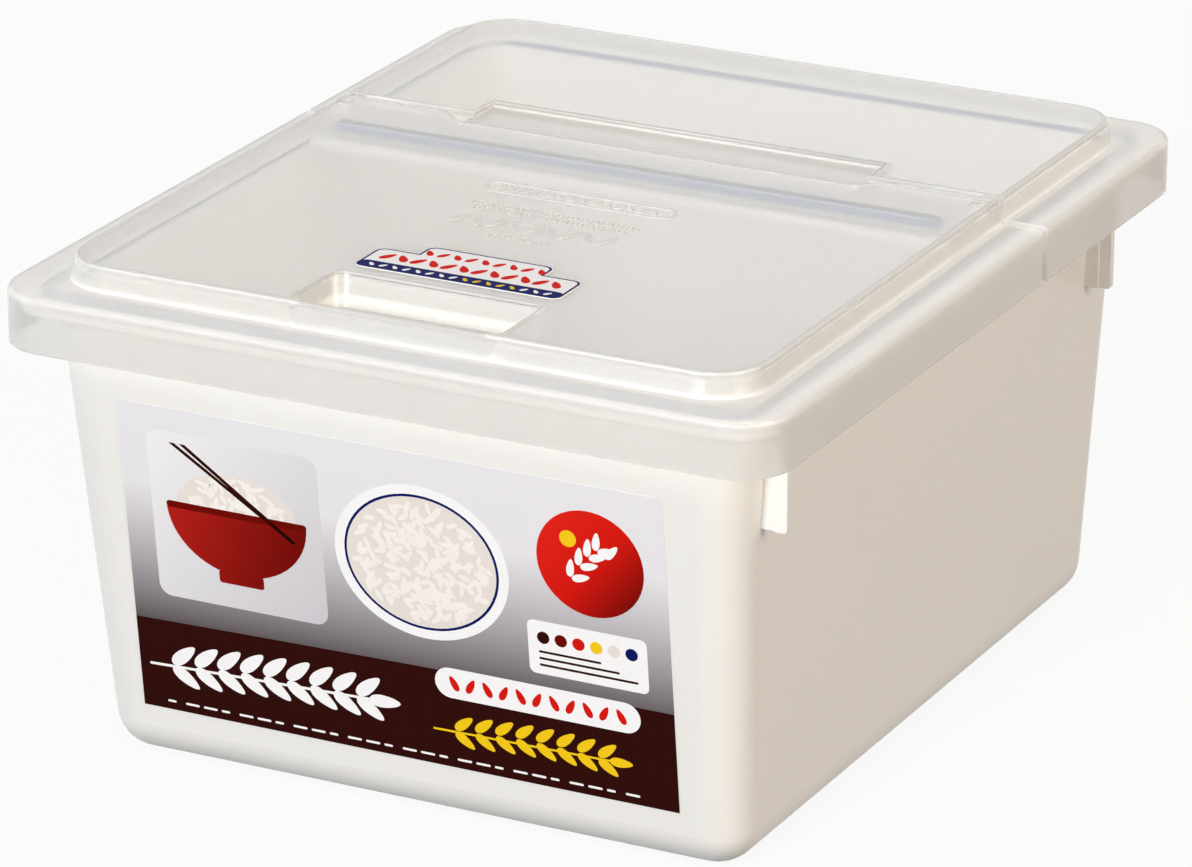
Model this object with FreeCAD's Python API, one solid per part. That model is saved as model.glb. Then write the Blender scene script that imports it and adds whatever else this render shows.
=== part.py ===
import FreeCAD, Part
import math
import os

# A rice bin for standing inside a kitchen drawer: an open container with a soft
# packing round its rim, a fixed rear lid, and a front lid that hinges up along the
# seam between the two. A measuring cup stands inside.
# Millimetres. +X is the bin's right, +Y its rear, +Z up. The origin is on the
# floor under the middle of the lid.

# ---------------------------------------------------------------- driving sizes
# Overall
lid_width = 302.0
lid_length = 362.0
bin_height = 190.0
body_gap = 0.3              # air between pieces that move apart

# Lids
lid_wall = 2.0
lid_corner_radius = 20.4
skirt_depth = 20.6          # from the flange's top down to the skirt's lower edge
plateau_rise = 8.8          # from the flange's top up to the plateau's top
plateau_inset = 17.85       # from the skirt's face in to the plateau's top edge
plateau_draft = 2.1         # how far the plateau's foot stands out past its top
plateau_corner_radius = 19.2
plateau_edge_radius = 1.0

# Hinge along the seam
hinge_y = 47.6
barrel_radius = 2.4
pin_radius = 1.4
pin_running_gap = 0.05
seam_gap = 1.1              # from the barrel's back to the rear lid's front wall
skirt_seam_gap = 4.7        # open slot in the skirt, where the hinge turns
ear_length = 9.6            # how far each ear reaches in front of the hinge axis
ear_width = 6.7
ear_nose_radius = 3.0
barrel_length = 32.0

# Grip at the seam: a cut-out in the front lid's edge and a recess in the rear lid
grip_width = 161.0
grip_rear_reach = 19.3      # from the hinge axis back to the recess's rear wall
grip_front_reach = 9.6      # from the hinge axis forward to the front lid's edge
grip_flare = 10.0           # how much wider each end of the cut-out is at the seam
grip_floor_drop = 2.7       # from the plateau's top down to the grip's floor

# Bridge: the shelf of the rear lid that reaches under the front lid
bridge_front_y = 14.0
bridge_side_gap = 1.15       # from the bridge's end to the inside of the front lid's wall
bridge_drop = 5.5           # from the plateau's top down to the shelf's top
bridge_lip_depth = 7.5

# Finger well in the front lid
well_width = 82.0
well_rear_y = -127.0
well_depth = 12.0
well_draft = 3.5
well_corner_radius = 5.0
well_lip_drop = 1.0

# Container
container_wall = 2.5
container_corner_radius = 16.0
base_edge_radius = 15.0
shoulder_side = 16.1        # from the lid's face in to the top of the wall
shoulder_front = 11.0
shoulder_rear = 13.0
side_lean = 8.4             # how far each wall draws in from its top to the floor
front_lean = 22.9
rear_lean = 8.1
rim_thickness = 3.0
rim_clearance = 2.5         # from the rim's edge to the inside of the skirt

# Nesting lugs on the container's sides
lug_bottom_z = 131.0
lug_reach = 8.2             # from the lid's face in to the lug's outer face
lug_thickness = 3.0
lug_step = 1.0              # how far the lug's outer half is set towards the corner
lug_step_width = 4.5
lug_edge_radius = 1.2
lug_front_y = -146.5        # of the two on the right; those on the left lie half a turn away
lug_rear_y = 134.0

# Packings
packing_inset = 13.0        # from the lid's face in to the rim packing's middle
packing_width = 3.0
packing_seat = 1.5          # depth of the groove that holds it
packing_proud = 2.7         # how far it stands out of the groove
packing_edge_radius = 1.0
rim_ledge = 3.5             # from the packing's middle in to the rim's inner edge
strip_end_gap = 8.0         # from the bridge's end in to the end of its packing
strip_width = 5.2
strip_setback = 5.5         # from the bridge's front face back to its packing

# Measuring cup, one 180 ml measure
cup_x = 58.0
cup_y = -62.0
cup_height = 60.0
cup_base_radius = 29.0
cup_top_radius = 36.0
cup_wall = 1.2
cup_rim_width = 3.0
cup_scale_angle = 150.0
cup_scale_low = 12.0
cup_scale_high = 44.0

# Printed films
film_thickness = 0.2
label_width = 213.0
label_height = 122.5
label_shift_x = -1.7
label_base_height = 22.0    # up the front wall from the floor's level
label_corner_radius = 1.0
sticker_width = 81.0
sticker_depth = 21.0
sticker_tab_width = 50.0
sticker_tab_depth = 9.0
sticker_shift_x = 2.0
sticker_front_y = -121.0
sticker_corner_radius = 4.0

# ---------------------------------------------------------------- derived levels
half_width = lid_width / 2
half_length = lid_length / 2
plateau_top = bin_height
flange_top = plateau_top - plateau_rise
flange_under = flange_top - lid_wall
plate_under = plateau_top - lid_wall
skirt_bottom = flange_top - skirt_depth

seam_front = hinge_y - pin_running_gap
seam_rear = hinge_y + barrel_radius + seam_gap
skirt_seam_rear = hinge_y + skirt_seam_gap
hinge_z = plateau_top - barrel_radius
ear_outer = half_width - plateau_inset - body_gap / 2
ear_inner = ear_outer - ear_width
barrel_outer = ear_inner - body_gap
barrel_inner = barrel_outer - barrel_length
ear_front = hinge_y - ear_length
ear_bottom = flange_top + body_gap

grip_floor = plateau_top - grip_floor_drop
grip_rear = hinge_y + grip_rear_reach
grip_front = hinge_y - grip_front_reach
grip_half = grip_width / 2
shelf_top = plateau_top - bridge_drop
shelf_under = shelf_top - lid_wall
bridge_half = half_width - plateau_inset - lid_wall - bridge_side_gap
strip_half = bridge_half - strip_end_gap
strip_front_y = bridge_front_y + strip_setback

rim_top = flange_under - body_gap - packing_proud
rim_under = rim_top - rim_thickness
top_half_x = half_width - shoulder_side
top_front = -(half_length - shoulder_front)
top_rear = half_length - shoulder_rear

FAR = 4 * max(lid_width, lid_length, bin_height)   # past every face of the bin


# ---------------------------------------------------------------- shape helpers
def box(x0, x1, y0, y1, z0, z1):
    """Axis-aligned block between the given limits."""
    return Part.makeBox(x1 - x0, y1 - y0, z1 - z0, FreeCAD.Vector(x0, y0, z0))


def both_sides(shape):
    """The shape together with its mirror image across the bin's middle plane."""
    twin = shape.mirror(FreeCAD.Vector(0, 0, 0), FreeCAD.Vector(1, 0, 0))
    return shape.fuse(twin)


def outline(x0, x1, y0, y1, radius, z):
    """Closed rounded rectangle at height z."""
    centres = [(x1 - radius, y1 - radius, 0), (x0 + radius, y1 - radius, 90),
               (x0 + radius, y0 + radius, 180), (x1 - radius, y0 + radius, 270)]
    arcs = []
    for cx, cy, start in centres:
        points = []
        for turn in (0, 45, 90):
            angle = math.radians(start + turn)
            points.append(FreeCAD.Vector(cx + radius * math.cos(angle),
                                         cy + radius * math.sin(angle), z))
        arcs.append(points)
    edges = []
    for here, following in zip(arcs, arcs[1:] + arcs[:1]):
        edges.append(Part.Arc(*here).toShape())
        edges.append(Part.LineSegment(here[2], following[0]).toShape())
    return Part.Wire(edges)


def slab(x0, x1, y0, y1, radius, z0, z1):
    """Rounded rectangular block."""
    face = Part.Face(outline(x0, x1, y0, y1, radius, z0))
    return face.extrude(FreeCAD.Vector(0, 0, z1 - z0))


def level_edges(shape, z):
    """Edges that lie wholly at height z."""
    tolerance = 0.001
    return [edge for edge in shape.Edges
            if abs(edge.BoundBox.ZMin - z) < tolerance
            and abs(edge.BoundBox.ZMax - z) < tolerance]


def along_x(radius, x0, x1, y, z):
    """Cylinder that lies along X."""
    return Part.makeCylinder(radius, x1 - x0, FreeCAD.Vector(x0, y, z), FreeCAD.Vector(1, 0, 0))


# ---------------------------------------------------------------- lid shell
def plateau_block(inset, z0, z1, edge_radius):
    """Raised middle of the lid, drafted on all four sides, between two heights."""
    wires = []
    for z in (z0, z1):
        spread = plateau_draft * (plateau_top - inset - z) / plateau_rise
        set_in = plateau_inset + inset - spread
        radius = plateau_corner_radius - inset + spread
        wires.append(outline(-half_width + set_in, half_width - set_in,
                             -half_length + set_in, half_length - set_in, radius, z))
    block = Part.makeLoft(wires, True, True)
    if edge_radius > 0:
        block = block.makeFillet(edge_radius, level_edges(block, z1))
    return block


def flange_block(inset, z0, z1, edge_radius):
    """Flange and skirt as one block, set in from the lid's outer face."""
    block = slab(-half_width + inset, half_width - inset, -half_length + inset,
                 half_length - inset, lid_corner_radius - inset, z0, z1)
    if edge_radius > 0:
        block = block.makeFillet(edge_radius, level_edges(block, z1))
    return block


def lid_shell():
    """Both lids as one thin shell, before they are parted at the seam."""
    outside = flange_block(0, skirt_bottom, flange_top, lid_wall)
    outside = outside.fuse(plateau_block(0, flange_under, plateau_top, plateau_edge_radius))
    inside = flange_block(lid_wall, skirt_bottom - lid_wall, flange_under, 0)
    inside = inside.fuse(plateau_block(lid_wall, rim_top, plate_under, 0))
    return outside.cut(inside)


# ---------------------------------------------------------------- front lid
def well_block(offset, z0):
    """Finger well, or with an offset its outer wall, from height z0 up."""
    front = -half_length + plateau_inset + lid_wall - offset
    half = well_width / 2 + offset
    low = well_draft / 2
    radius = well_corner_radius + offset
    wires = [outline(-half + low, half - low, front, well_rear_y + offset - well_draft, radius, z0),
             outline(-half, half, front, well_rear_y + offset, radius, plateau_top)]
    return Part.makeLoft(wires, True, True)


def front_lid():
    lid = lid_shell().common(box(-FAR, FAR, -FAR, seam_front, 0, FAR))
    notch = box(barrel_outer, ear_outer + body_gap, ear_front - body_gap, FAR, 0, FAR)
    lid = lid.cut(both_sides(notch))

    corners = [(-grip_half, grip_front), (grip_half, grip_front),
               (grip_half + grip_flare, seam_rear), (-grip_half - grip_flare, seam_rear)]
    wire = Part.makePolygon([FreeCAD.Vector(x, y, flange_top) for x, y in corners + corners[:1]])
    lid = lid.cut(Part.Face(wire).extrude(FreeCAD.Vector(0, 0, plateau_rise * 2)))

    barrel = along_x(barrel_radius, barrel_inner, barrel_outer, hinge_y, hinge_z)
    pin = along_x(pin_radius, barrel_outer - barrel_radius, ear_outer - body_gap, hinge_y, hinge_z)
    lid = lid.fuse(both_sides(barrel.fuse(pin)))

    well_floor = plateau_top - well_depth
    lid = lid.fuse(well_block(lid_wall, well_floor - lid_wall))
    lid = lid.cut(well_block(0, well_floor))
    lip_half = well_width / 2 - well_corner_radius
    lip = box(-lip_half, lip_half, -half_length, well_rear_y - well_corner_radius,
              plateau_top - well_lip_drop, FAR)
    return lid.cut(lip).removeSplitter()


# ---------------------------------------------------------------- rear lid
def grip_recess(lid):
    """Sinks the grip's floor into the rear lid and carries it forward as a tray."""
    outer = grip_half + lid_wall
    lid = lid.fuse(box(-outer, outer, seam_rear, grip_rear + lid_wall,
                       grip_floor - lid_wall, plateau_top - lid_wall / 2))
    lid = lid.cut(box(-grip_half, grip_half, 0, grip_rear, grip_floor, FAR))
    tray_front = grip_front - 4 * lid_wall
    tray = box(-outer, outer, tray_front, seam_rear + lid_wall, shelf_under, grip_floor)
    hollow = box(-grip_half, grip_half, tray_front + lid_wall, seam_rear,
                 0, grip_floor - lid_wall)
    lid = lid.cut(hollow.common(box(-FAR, FAR, 0, seam_rear, 0, shelf_top)))
    return lid.fuse(tray.cut(hollow))


def bridge():
    """Shelf under the front lid with a lip and end walls turned down."""
    rear = seam_rear + lid_wall
    low = shelf_top - bridge_lip_depth
    shelf = box(-bridge_half, bridge_half, bridge_front_y, rear, shelf_under, shelf_top)
    lip = box(-bridge_half, bridge_half, bridge_front_y, bridge_front_y + lid_wall, low, shelf_top)
    end = box(bridge_half - lid_wall, bridge_half, bridge_front_y, rear, low, shelf_top)
    return shelf.fuse([lip, both_sides(end)])


def ear():
    """Arm on the right that holds one hinge pin."""
    arm = box(ear_inner, ear_outer, ear_front, seam_rear + lid_wall, ear_bottom, plateau_top)
    nose = [edge for edge in level_edges(arm, plateau_top) if edge.BoundBox.YMax < hinge_y]
    return arm.makeFillet(ear_nose_radius, nose)


def rear_lid():
    shell = lid_shell()
    lid = shell.common(box(-FAR, FAR, seam_rear, FAR, 0, FAR))
    plateau_foot = half_width - plateau_inset + plateau_draft
    slot = box(plateau_foot, FAR, 0, skirt_seam_rear, 0, flange_top)
    slot = slot.fuse(box(plateau_foot - lid_wall, FAR, 0, skirt_seam_rear, 0, flange_under))
    lid = lid.cut(both_sides(slot))

    front_wall = plateau_block(0, shelf_under, plateau_top, plateau_edge_radius)
    front_wall = front_wall.common(box(-FAR, FAR, seam_rear, seam_rear + lid_wall, 0, FAR))
    lid = lid.fuse([front_wall, bridge(), both_sides(ear())])
    lid = grip_recess(lid)

    bore_radius = pin_radius + pin_running_gap
    bore = along_x(bore_radius, barrel_outer, ear_outer + 1, hinge_y, hinge_z)
    groove = box(-strip_half, strip_half, strip_front_y, strip_front_y + strip_width,
                 shelf_top - packing_seat, FAR)
    below_plate = box(-FAR, FAR, 0, FAR, 0, plate_under)
    lid = lid.cut([both_sides(bore), groove.common(below_plate)])
    return lid.removeSplitter()


# ---------------------------------------------------------------- container
def container_block(inset, z0):
    """The container's drafted body, set in by a wall, from height z0 to the rim."""
    lean = (rim_top - z0) / rim_top
    radius = container_corner_radius - inset
    low = outline(-top_half_x + side_lean * lean + inset, top_half_x - side_lean * lean - inset,
                  top_front + front_lean * lean + inset, top_rear - rear_lean * lean - inset,
                  radius, z0)
    high = outline(-top_half_x + inset, top_half_x - inset, top_front + inset, top_rear - inset,
                   radius, rim_top)
    block = Part.makeLoft([low, high], True, True)
    return block.makeFillet(base_edge_radius - inset, level_edges(block, z0))


def ring_slab(inner_inset, outer_inset, z0, z1):
    """Flat ring concentric with the lid, between two insets from the lid's face."""
    ring = flange_block(outer_inset, z0, z1, 0)
    radius = max(lid_corner_radius - inner_inset, 4.0)
    hole = slab(-half_width + inner_inset, half_width - inner_inset, -half_length + inner_inset,
                half_length - inner_inset, radius, z0, z1)
    return ring.cut(hole)


def lug(y_face, towards_corner):
    """One lug on the right side; towards_corner is -1 at the front and +1 at the rear."""
    outer = half_width - lug_reach
    step_x = outer - lug_step_width
    y_back = y_face - towards_corner * lug_thickness
    y_out = y_face + towards_corner * lug_step
    inner = top_half_x - side_lean
    web = box(inner, step_x, min(y_face, y_back), max(y_face, y_back), lug_bottom_z, rim_under)
    y_back = y_out - towards_corner * lug_thickness
    flange = box(step_x, outer, min(y_out, y_back), max(y_out, y_back), lug_bottom_z, rim_under)
    lower = [edge for edge in level_edges(flange, lug_bottom_z) if edge.BoundBox.XMin > step_x]
    flange = flange.makeFillet(lug_edge_radius, lower)
    return web.fuse(flange)


def container():
    inside = container_block(container_wall, container_wall)
    rim = ring_slab(packing_inset + rim_ledge, lid_wall + rim_clearance, rim_under, rim_top)
    lugs = lug(lug_front_y, -1).fuse(lug(lug_rear_y, 1))
    turned = lugs.copy()
    turned.rotate(FreeCAD.Vector(0, 0, 0), FreeCAD.Vector(0, 0, 1), 180)
    lugs = lugs.fuse(turned)
    walls = container_block(0, 0).fuse(lugs).cut(inside)
    groove = ring_slab(packing_inset + packing_width / 2, packing_inset - packing_width / 2,
                       rim_top - packing_seat, rim_top)
    return walls.fuse(rim).cut(groove).removeSplitter()


# ---------------------------------------------------------------- packings
def rim_packing():
    top = rim_top + packing_proud
    ring = ring_slab(packing_inset + packing_width / 2, packing_inset - packing_width / 2,
                     rim_top - packing_seat, top)
    return ring.makeFillet(packing_edge_radius, level_edges(ring, top))


def bridge_packing():
    top = plate_under - body_gap
    strip = box(-strip_half, strip_half, strip_front_y, strip_front_y + strip_width,
                shelf_top - packing_seat, top)
    return strip.makeFillet(packing_edge_radius, level_edges(strip, top))


# ---------------------------------------------------------------- measuring cup
def cup_radius(height):
    """Outer radius of the cup's wall at a height above its base."""
    return cup_base_radius + (cup_top_radius - cup_base_radius) * height / cup_height


def turned(profile, angle, start_angle=0.0):
    """Turns a closed profile of (radius, height) points about the cup's axis."""
    base = FreeCAD.Vector(cup_x, cup_y, container_wall + body_gap)
    points = [FreeCAD.Vector(r, 0, z) for r, z in profile + profile[:1]]
    face = Part.Face(Part.makePolygon(points))
    solid = face.revolve(FreeCAD.Vector(0, 0, 0), FreeCAD.Vector(0, 0, 1), angle)
    solid.rotate(FreeCAD.Vector(0, 0, 0), FreeCAD.Vector(0, 0, 1), start_angle)
    solid.translate(base)
    return solid


def measuring_cup():
    rim_outer = cup_top_radius + cup_rim_width
    profile = [(0, 0), (cup_base_radius, 0),
               (cup_radius(cup_height - cup_wall), cup_height - cup_wall),
               (rim_outer, cup_height - cup_wall), (rim_outer, cup_height),
               (cup_top_radius - cup_wall, cup_height),
               (cup_radius(cup_wall) - cup_wall, cup_wall), (0, cup_wall)]
    return turned(profile, 360)


def cup_scale():
    low = cup_radius(cup_scale_low)
    high = cup_radius(cup_scale_high)
    profile = [(low, cup_scale_low), (low + film_thickness, cup_scale_low),
               (high + film_thickness, cup_scale_high), (high, cup_scale_high)]
    return turned(profile, cup_scale_angle, -90 - cup_scale_angle / 2)


# ---------------------------------------------------------------- printed films
def front_label():
    """Film on the front wall, made lying flat and then stood up to the wall's lean."""
    x0 = label_shift_x - label_width / 2
    film = slab(x0, x0 + label_width, label_base_height, label_base_height + label_height,
                label_corner_radius, 0, film_thickness)
    lean = math.degrees(math.atan2(front_lean, rim_top))
    film.rotate(FreeCAD.Vector(0, 0, 0), FreeCAD.Vector(1, 0, 0), 90 + lean)
    film.translate(FreeCAD.Vector(0, top_front + front_lean, 0))
    return film


def lid_sticker():
    """Film on the front lid: a bar with a tab on its rear edge."""
    x0 = sticker_shift_x - sticker_width / 2
    y1 = sticker_front_y + sticker_depth
    bar = slab(x0, x0 + sticker_width, sticker_front_y, y1, sticker_corner_radius,
               plateau_top, plateau_top + film_thickness)
    tab_x = sticker_shift_x - sticker_tab_width / 2
    tab = slab(tab_x, tab_x + sticker_tab_width, sticker_front_y, y1 + sticker_tab_depth,
               sticker_corner_radius, plateau_top, plateau_top + film_thickness)
    return bar.fuse(tab).removeSplitter()


PIECES = {
    "container": container,
    "rear_lid": rear_lid,
    "front_lid": front_lid,
    "rim_packing": rim_packing,
    "bridge_packing": bridge_packing,
    "measuring_cup": measuring_cup,
    "cup_scale": cup_scale,
    "front_label": front_label,
    "lid_sticker": lid_sticker,
}

os.makedirs("parts", exist_ok=True)
for name, make in PIECES.items():
    shape = make()
    shape.exportStep("parts/" + name + ".step")
    limits = shape.BoundBox
    print(name, "solids", len(shape.Solids), "valid", shape.isValid(),
          "volume", round(shape.Volume, 1),
          "x", round(limits.XMin, 2), round(limits.XMax, 2),
          "y", round(limits.YMin, 2), round(limits.YMax, 2),
          "z", round(limits.ZMin, 2), round(limits.ZMax, 2))
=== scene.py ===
import math

import bmesh
import bpy
from mathutils import Matrix, Vector


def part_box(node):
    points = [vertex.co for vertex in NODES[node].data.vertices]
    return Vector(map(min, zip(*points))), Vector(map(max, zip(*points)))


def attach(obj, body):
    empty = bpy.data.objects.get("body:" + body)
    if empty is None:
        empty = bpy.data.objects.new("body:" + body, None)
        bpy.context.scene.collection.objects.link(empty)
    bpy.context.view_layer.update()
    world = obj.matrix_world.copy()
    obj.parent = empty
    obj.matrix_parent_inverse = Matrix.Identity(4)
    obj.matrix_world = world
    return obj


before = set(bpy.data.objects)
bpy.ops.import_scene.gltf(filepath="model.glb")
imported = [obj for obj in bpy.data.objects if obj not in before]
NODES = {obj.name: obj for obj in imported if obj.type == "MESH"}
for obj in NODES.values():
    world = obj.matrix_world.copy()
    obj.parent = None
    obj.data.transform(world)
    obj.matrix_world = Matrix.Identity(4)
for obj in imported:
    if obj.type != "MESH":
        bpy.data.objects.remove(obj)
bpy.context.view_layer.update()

bl_info = {
    "name": "Drawer rice bin",
    "version": (1, 0, 0),
    "blender": (4, 5, 0),
    "location": "View3D > Sidebar > Rice bin",
    "description": "Dresses the rice bin in moulded plastic, elastomer and printed film",
    "category": "Object",
}


def mm(value):
    """Millimetres to metres."""
    return value / 1000.0


# -------------------- colours and node helper
def linear(hex_colour):
    """sRGB hex to the linear colour that shaders read."""
    out = []
    for start in (1, 3, 5):
        channel = int(hex_colour[start:start + 2], 16) / 255.0
        out.append(channel / 12.92 if channel <= 0.04045 else ((channel + 0.055) / 1.055) ** 2.4)
    return tuple(out) + (1.0,)


def add_node(tree, kind, links=None, **settings):
    """Adds a node. links maps its inputs to sockets or values; settings are its properties."""
    made = tree.nodes.new(kind)
    for name, value in settings.items():
        setattr(made, name, value)
    for name, value in (links or {}).items():
        if isinstance(value, bpy.types.NodeSocket):
            tree.links.new(value, made.inputs[name])
        else:
            made.inputs[name].default_value = value
    return made


def add_object(name, data):
    """A new object in the scene's own collection."""
    made = bpy.data.objects.new(name, data)
    bpy.context.scene.collection.objects.link(made)
    return made


def colour_prop(name, description, hex_colour):
    return bpy.props.FloatVectorProperty(name=name, description=description, subtype="COLOR",
                                         size=4, min=0.0, max=1.0, default=linear(hex_colour))


def length_prop(name, description, value):
    return bpy.props.FloatProperty(name=name, description=description, unit="LENGTH",
                                   default=mm(value), min=0.0, precision=5)


def share_prop(name, description, value):
    return bpy.props.FloatProperty(name=name, description=description, subtype="FACTOR",
                                   default=value, min=0.0, max=1.0)


def power_prop(name, description, watts):
    return bpy.props.FloatProperty(name=name, description=description, unit="POWER",
                                   default=watts, min=0.0)


# -------------------- settings
class RicebinPlastics(bpy.types.PropertyGroup):
    """Colours and clearness of the moulded pieces"""
    tub: colour_prop("Tub", "Opaque white of the container", "#ededeb")
    tub_warm: colour_prop("Tub, warm", "Warmest tone that the tub drifts to", "#edebe7")
    lid: colour_prop("Lids", "Milky tint of both lids", "#ebebeb")
    lid_flange: colour_prop("Lid flanges", "Milky tint of both lids' flanges", "#f6f6f5")
    # painted shade: the upright walls and skirts are tinted darker than the lids' top and flanges
    # because they catch less light
    lid_wall_shaded: colour_prop("Lid walls", "Milky tint of the walls round the raised part", "#dfdfde")
    lid_skirt_shaded: colour_prop("Lid skirts", "Milky tint of both lids' skirts", "#dcdbd9")
    wall_clearness: share_prop("Wall clearness", "How clear walls, flanges and skirts are", 0.55)
    wall_frost: share_prop("Wall frost", "Roughness of the walls, flanges and skirts", 0.12)
    lid_clearness: share_prop("Lid clearness", "Share of light that enters the lids' plastic", 0.71)
    lid_frost: share_prop("Lid frost", "How far the lids blur what lies behind them", 0.04)
    # painted highlight: the edge beads' tone is set so they read as the bright lines of the lids'
    # lit rounded edges
    lid_edge_highlight: colour_prop("Lid edges", "Paler tone of the lids' thick edges", "#d0d0cf")
    lid_relief: colour_prop("Lid relief", "Tone of the raised shapes on the front lid", "#e4e4e3")
    # painted shade and light: the packings' tops are tinted dark where they meet the lids and their
    # sides paler, standing in for how light falls on one elastomer
    packing_shaded_top: colour_prop("Packings", "Navy of both packings where they are pressed", "#08285a")
    packing_lit_side: colour_prop("Packings, sides", "Blue-grey of the packings' sides", "#345f8c")
    cup: colour_prop("Cup", "Tint of the measuring cup", "#f4f6f6")


class RicebinPrints(bpy.types.PropertyGroup):
    """Inks of the front label, the lid sticker and the cup's scale"""
    ink_step: length_prop("Ink step", "How far each ink stands above the one below", 0.03)
    ground_top: colour_prop("Label ground, top", "Palest tone of the label", "#e9e7eb")
    ground_low: colour_prop("Label ground, low", "Darkest tone of the label", "#5d5557")
    band: colour_prop("Band", "Dark maroon band along the label's foot", "#2e0d0a")
    red: colour_prop("Red", "Signal red of the disc and the grains", "#d41a12")
    deep_red: colour_prop("Deep red", "Shaded side of the disc and the bowl", "#6a0c08")
    yellow: colour_prop("Yellow", "Warm yellow of the second ear", "#f2c81e")
    navy: colour_prop("Navy", "Blue of the plate's line and the sticker's edge", "#0f1b5e")
    white: colour_prop("White", "Paper white", "#f6f5f6")
    rice: colour_prop("Rice", "Pale grain colour", "#e6ded8")
    grain_count: bpy.props.IntProperty(name="Grains", description="Grains on the plate",
                                       default=230, min=1, max=2000)


class RicebinStage(bpy.types.PropertyGroup):
    """Lights and camera"""
    key_power: power_prop("Key", "Power of the front light", 160.0)
    side_power: power_prop("Side", "Power of the warm side light", 47.0)
    back_power: power_prop("Back", "Power of each of the two fills", 23.0)
    ambient: bpy.props.FloatProperty(name="Ambient", description="Level of the even surround",
                                     default=0.35, min=0.0)
    lens: bpy.props.FloatProperty(name="Lens", description="Camera focal length in millimetres",
                                  subtype="DISTANCE_CAMERA", default=212.14, min=1.0)


# -------------------- materials
POLYPROPYLENE_IOR = 1.49
THIN_WALL_LIGHT = (0.9, 0.9, 0.89, 1.0)  # share of lamp light that passes a wall
LID_DEPTH = 30.0  # millimetres from the lid's top over which its tint is given
LID_UNEVENNESS = (30.0, 0.02)  # patch and depth in millimetres
INK = {"Roughness": 0.4, "IOR": 1.5, "Specular IOR Level": 0.015}  # matt varnish, little glare
INK_UNEVENNESS = (9.0, 0.01)


def new_material(name):
    material = bpy.data.materials.new(name)
    material.use_nodes = True
    material.node_tree.nodes.clear()
    return material, material.node_tree


def finish_surface(tree, shader):
    add_node(tree, "ShaderNodeOutputMaterial", {"Surface": shader})


def noise_over(tree, patch, detail):
    """Noise over the object in patches of a size in millimetres."""
    place = add_node(tree, "ShaderNodeTexCoord")
    noise = add_node(tree, "ShaderNodeTexNoise", {
        "Vector": place.outputs["Object"], "Scale": 1.0 / mm(patch), "Detail": detail})
    return noise.outputs["Fac"]


def moulded_bump(tree, patch, depth):
    """Fine unevenness of a moulded surface; patch and depth are in millimetres."""
    bump = add_node(tree, "ShaderNodeBump", {
        "Height": noise_over(tree, patch, 3.0), "Strength": 1.0, "Distance": mm(depth)})
    return bump.outputs["Normal"]


def drift(tree, patch, low, high):
    """A slow drift between two colours over patches of a size in millimetres."""
    mixed = add_node(tree, "ShaderNodeMix", {
        "Factor": noise_over(tree, patch, 2.0), 6: low, 7: high}, data_type="RGBA")
    return mixed.outputs[2]


def shade(colour, factor):
    """The colour made darker or lighter."""
    return tuple(min(1.0, part * factor) for part in colour[:3]) + (1.0,)


def colour_ramp(tree, share, stops):
    """A colour ramp over a share; stops are (place, colour), from place 0 to place 1."""
    ramp = add_node(tree, "ShaderNodeValToRGB", {"Fac": share})
    elements = ramp.color_ramp.elements
    elements[0].color, elements[1].color = stops[0][1], stops[-1][1]
    for place, colour in stops[1:-1]:
        elements.new(place).color = colour
    return ramp


def object_height(tree):
    """Height of the shaded point in its object, in metres."""
    place = add_node(tree, "ShaderNodeTexCoord")
    parts = add_node(tree, "ShaderNodeSeparateXYZ", {"Vector": place.outputs["Object"]})
    return parts.outputs["Z"]


def over_range(tree, value, low, high, start=0.0, end=1.0):
    """Maps a value between low and high to between start and end."""
    mapped = add_node(tree, "ShaderNodeMapRange", {
        "Value": value, "From Min": low, "From Max": high, "To Min": start, "To Max": end})
    return mapped.outputs["Result"]


def finish_solid(tree, inputs):
    """Ends a material in one Principled shader."""
    shader = add_node(tree, "ShaderNodeBsdfPrincipled", inputs)
    finish_surface(tree, shader.outputs["BSDF"])


def finish_thin_wall(tree, inputs):
    """The same, but lamps reach the inside through the thin wall."""
    shader = add_node(tree, "ShaderNodeBsdfPrincipled", inputs)
    through = add_node(tree, "ShaderNodeBsdfTransparent", {"Color": THIN_WALL_LIGHT})
    path = add_node(tree, "ShaderNodeLightPath")
    both = add_node(tree, "ShaderNodeMixShader", {
        0: path.outputs["Is Shadow Ray"], 1: shader.outputs["BSDF"], 2: through.outputs["BSDF"]})
    finish_surface(tree, both.outputs["Shader"])


def white_polypropylene(settings):
    """Opaque injection-moulded polypropylene: warm white and satin, light sinks in a little."""
    material, tree = new_material("moulded_polypropylene_white")
    finish_solid(tree, {
        "Base Color": drift(tree, 140.0, tuple(settings.tub), tuple(settings.tub_warm)),
        "Roughness": 0.36, "IOR": POLYPROPYLENE_IOR, "Subsurface Weight": 0.2,
        "Subsurface Radius": (1.0, 0.8, 0.55), "Subsurface Scale": mm(3.0),
        "Normal": moulded_bump(tree, 2.2, 0.012)})
    return material


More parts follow.
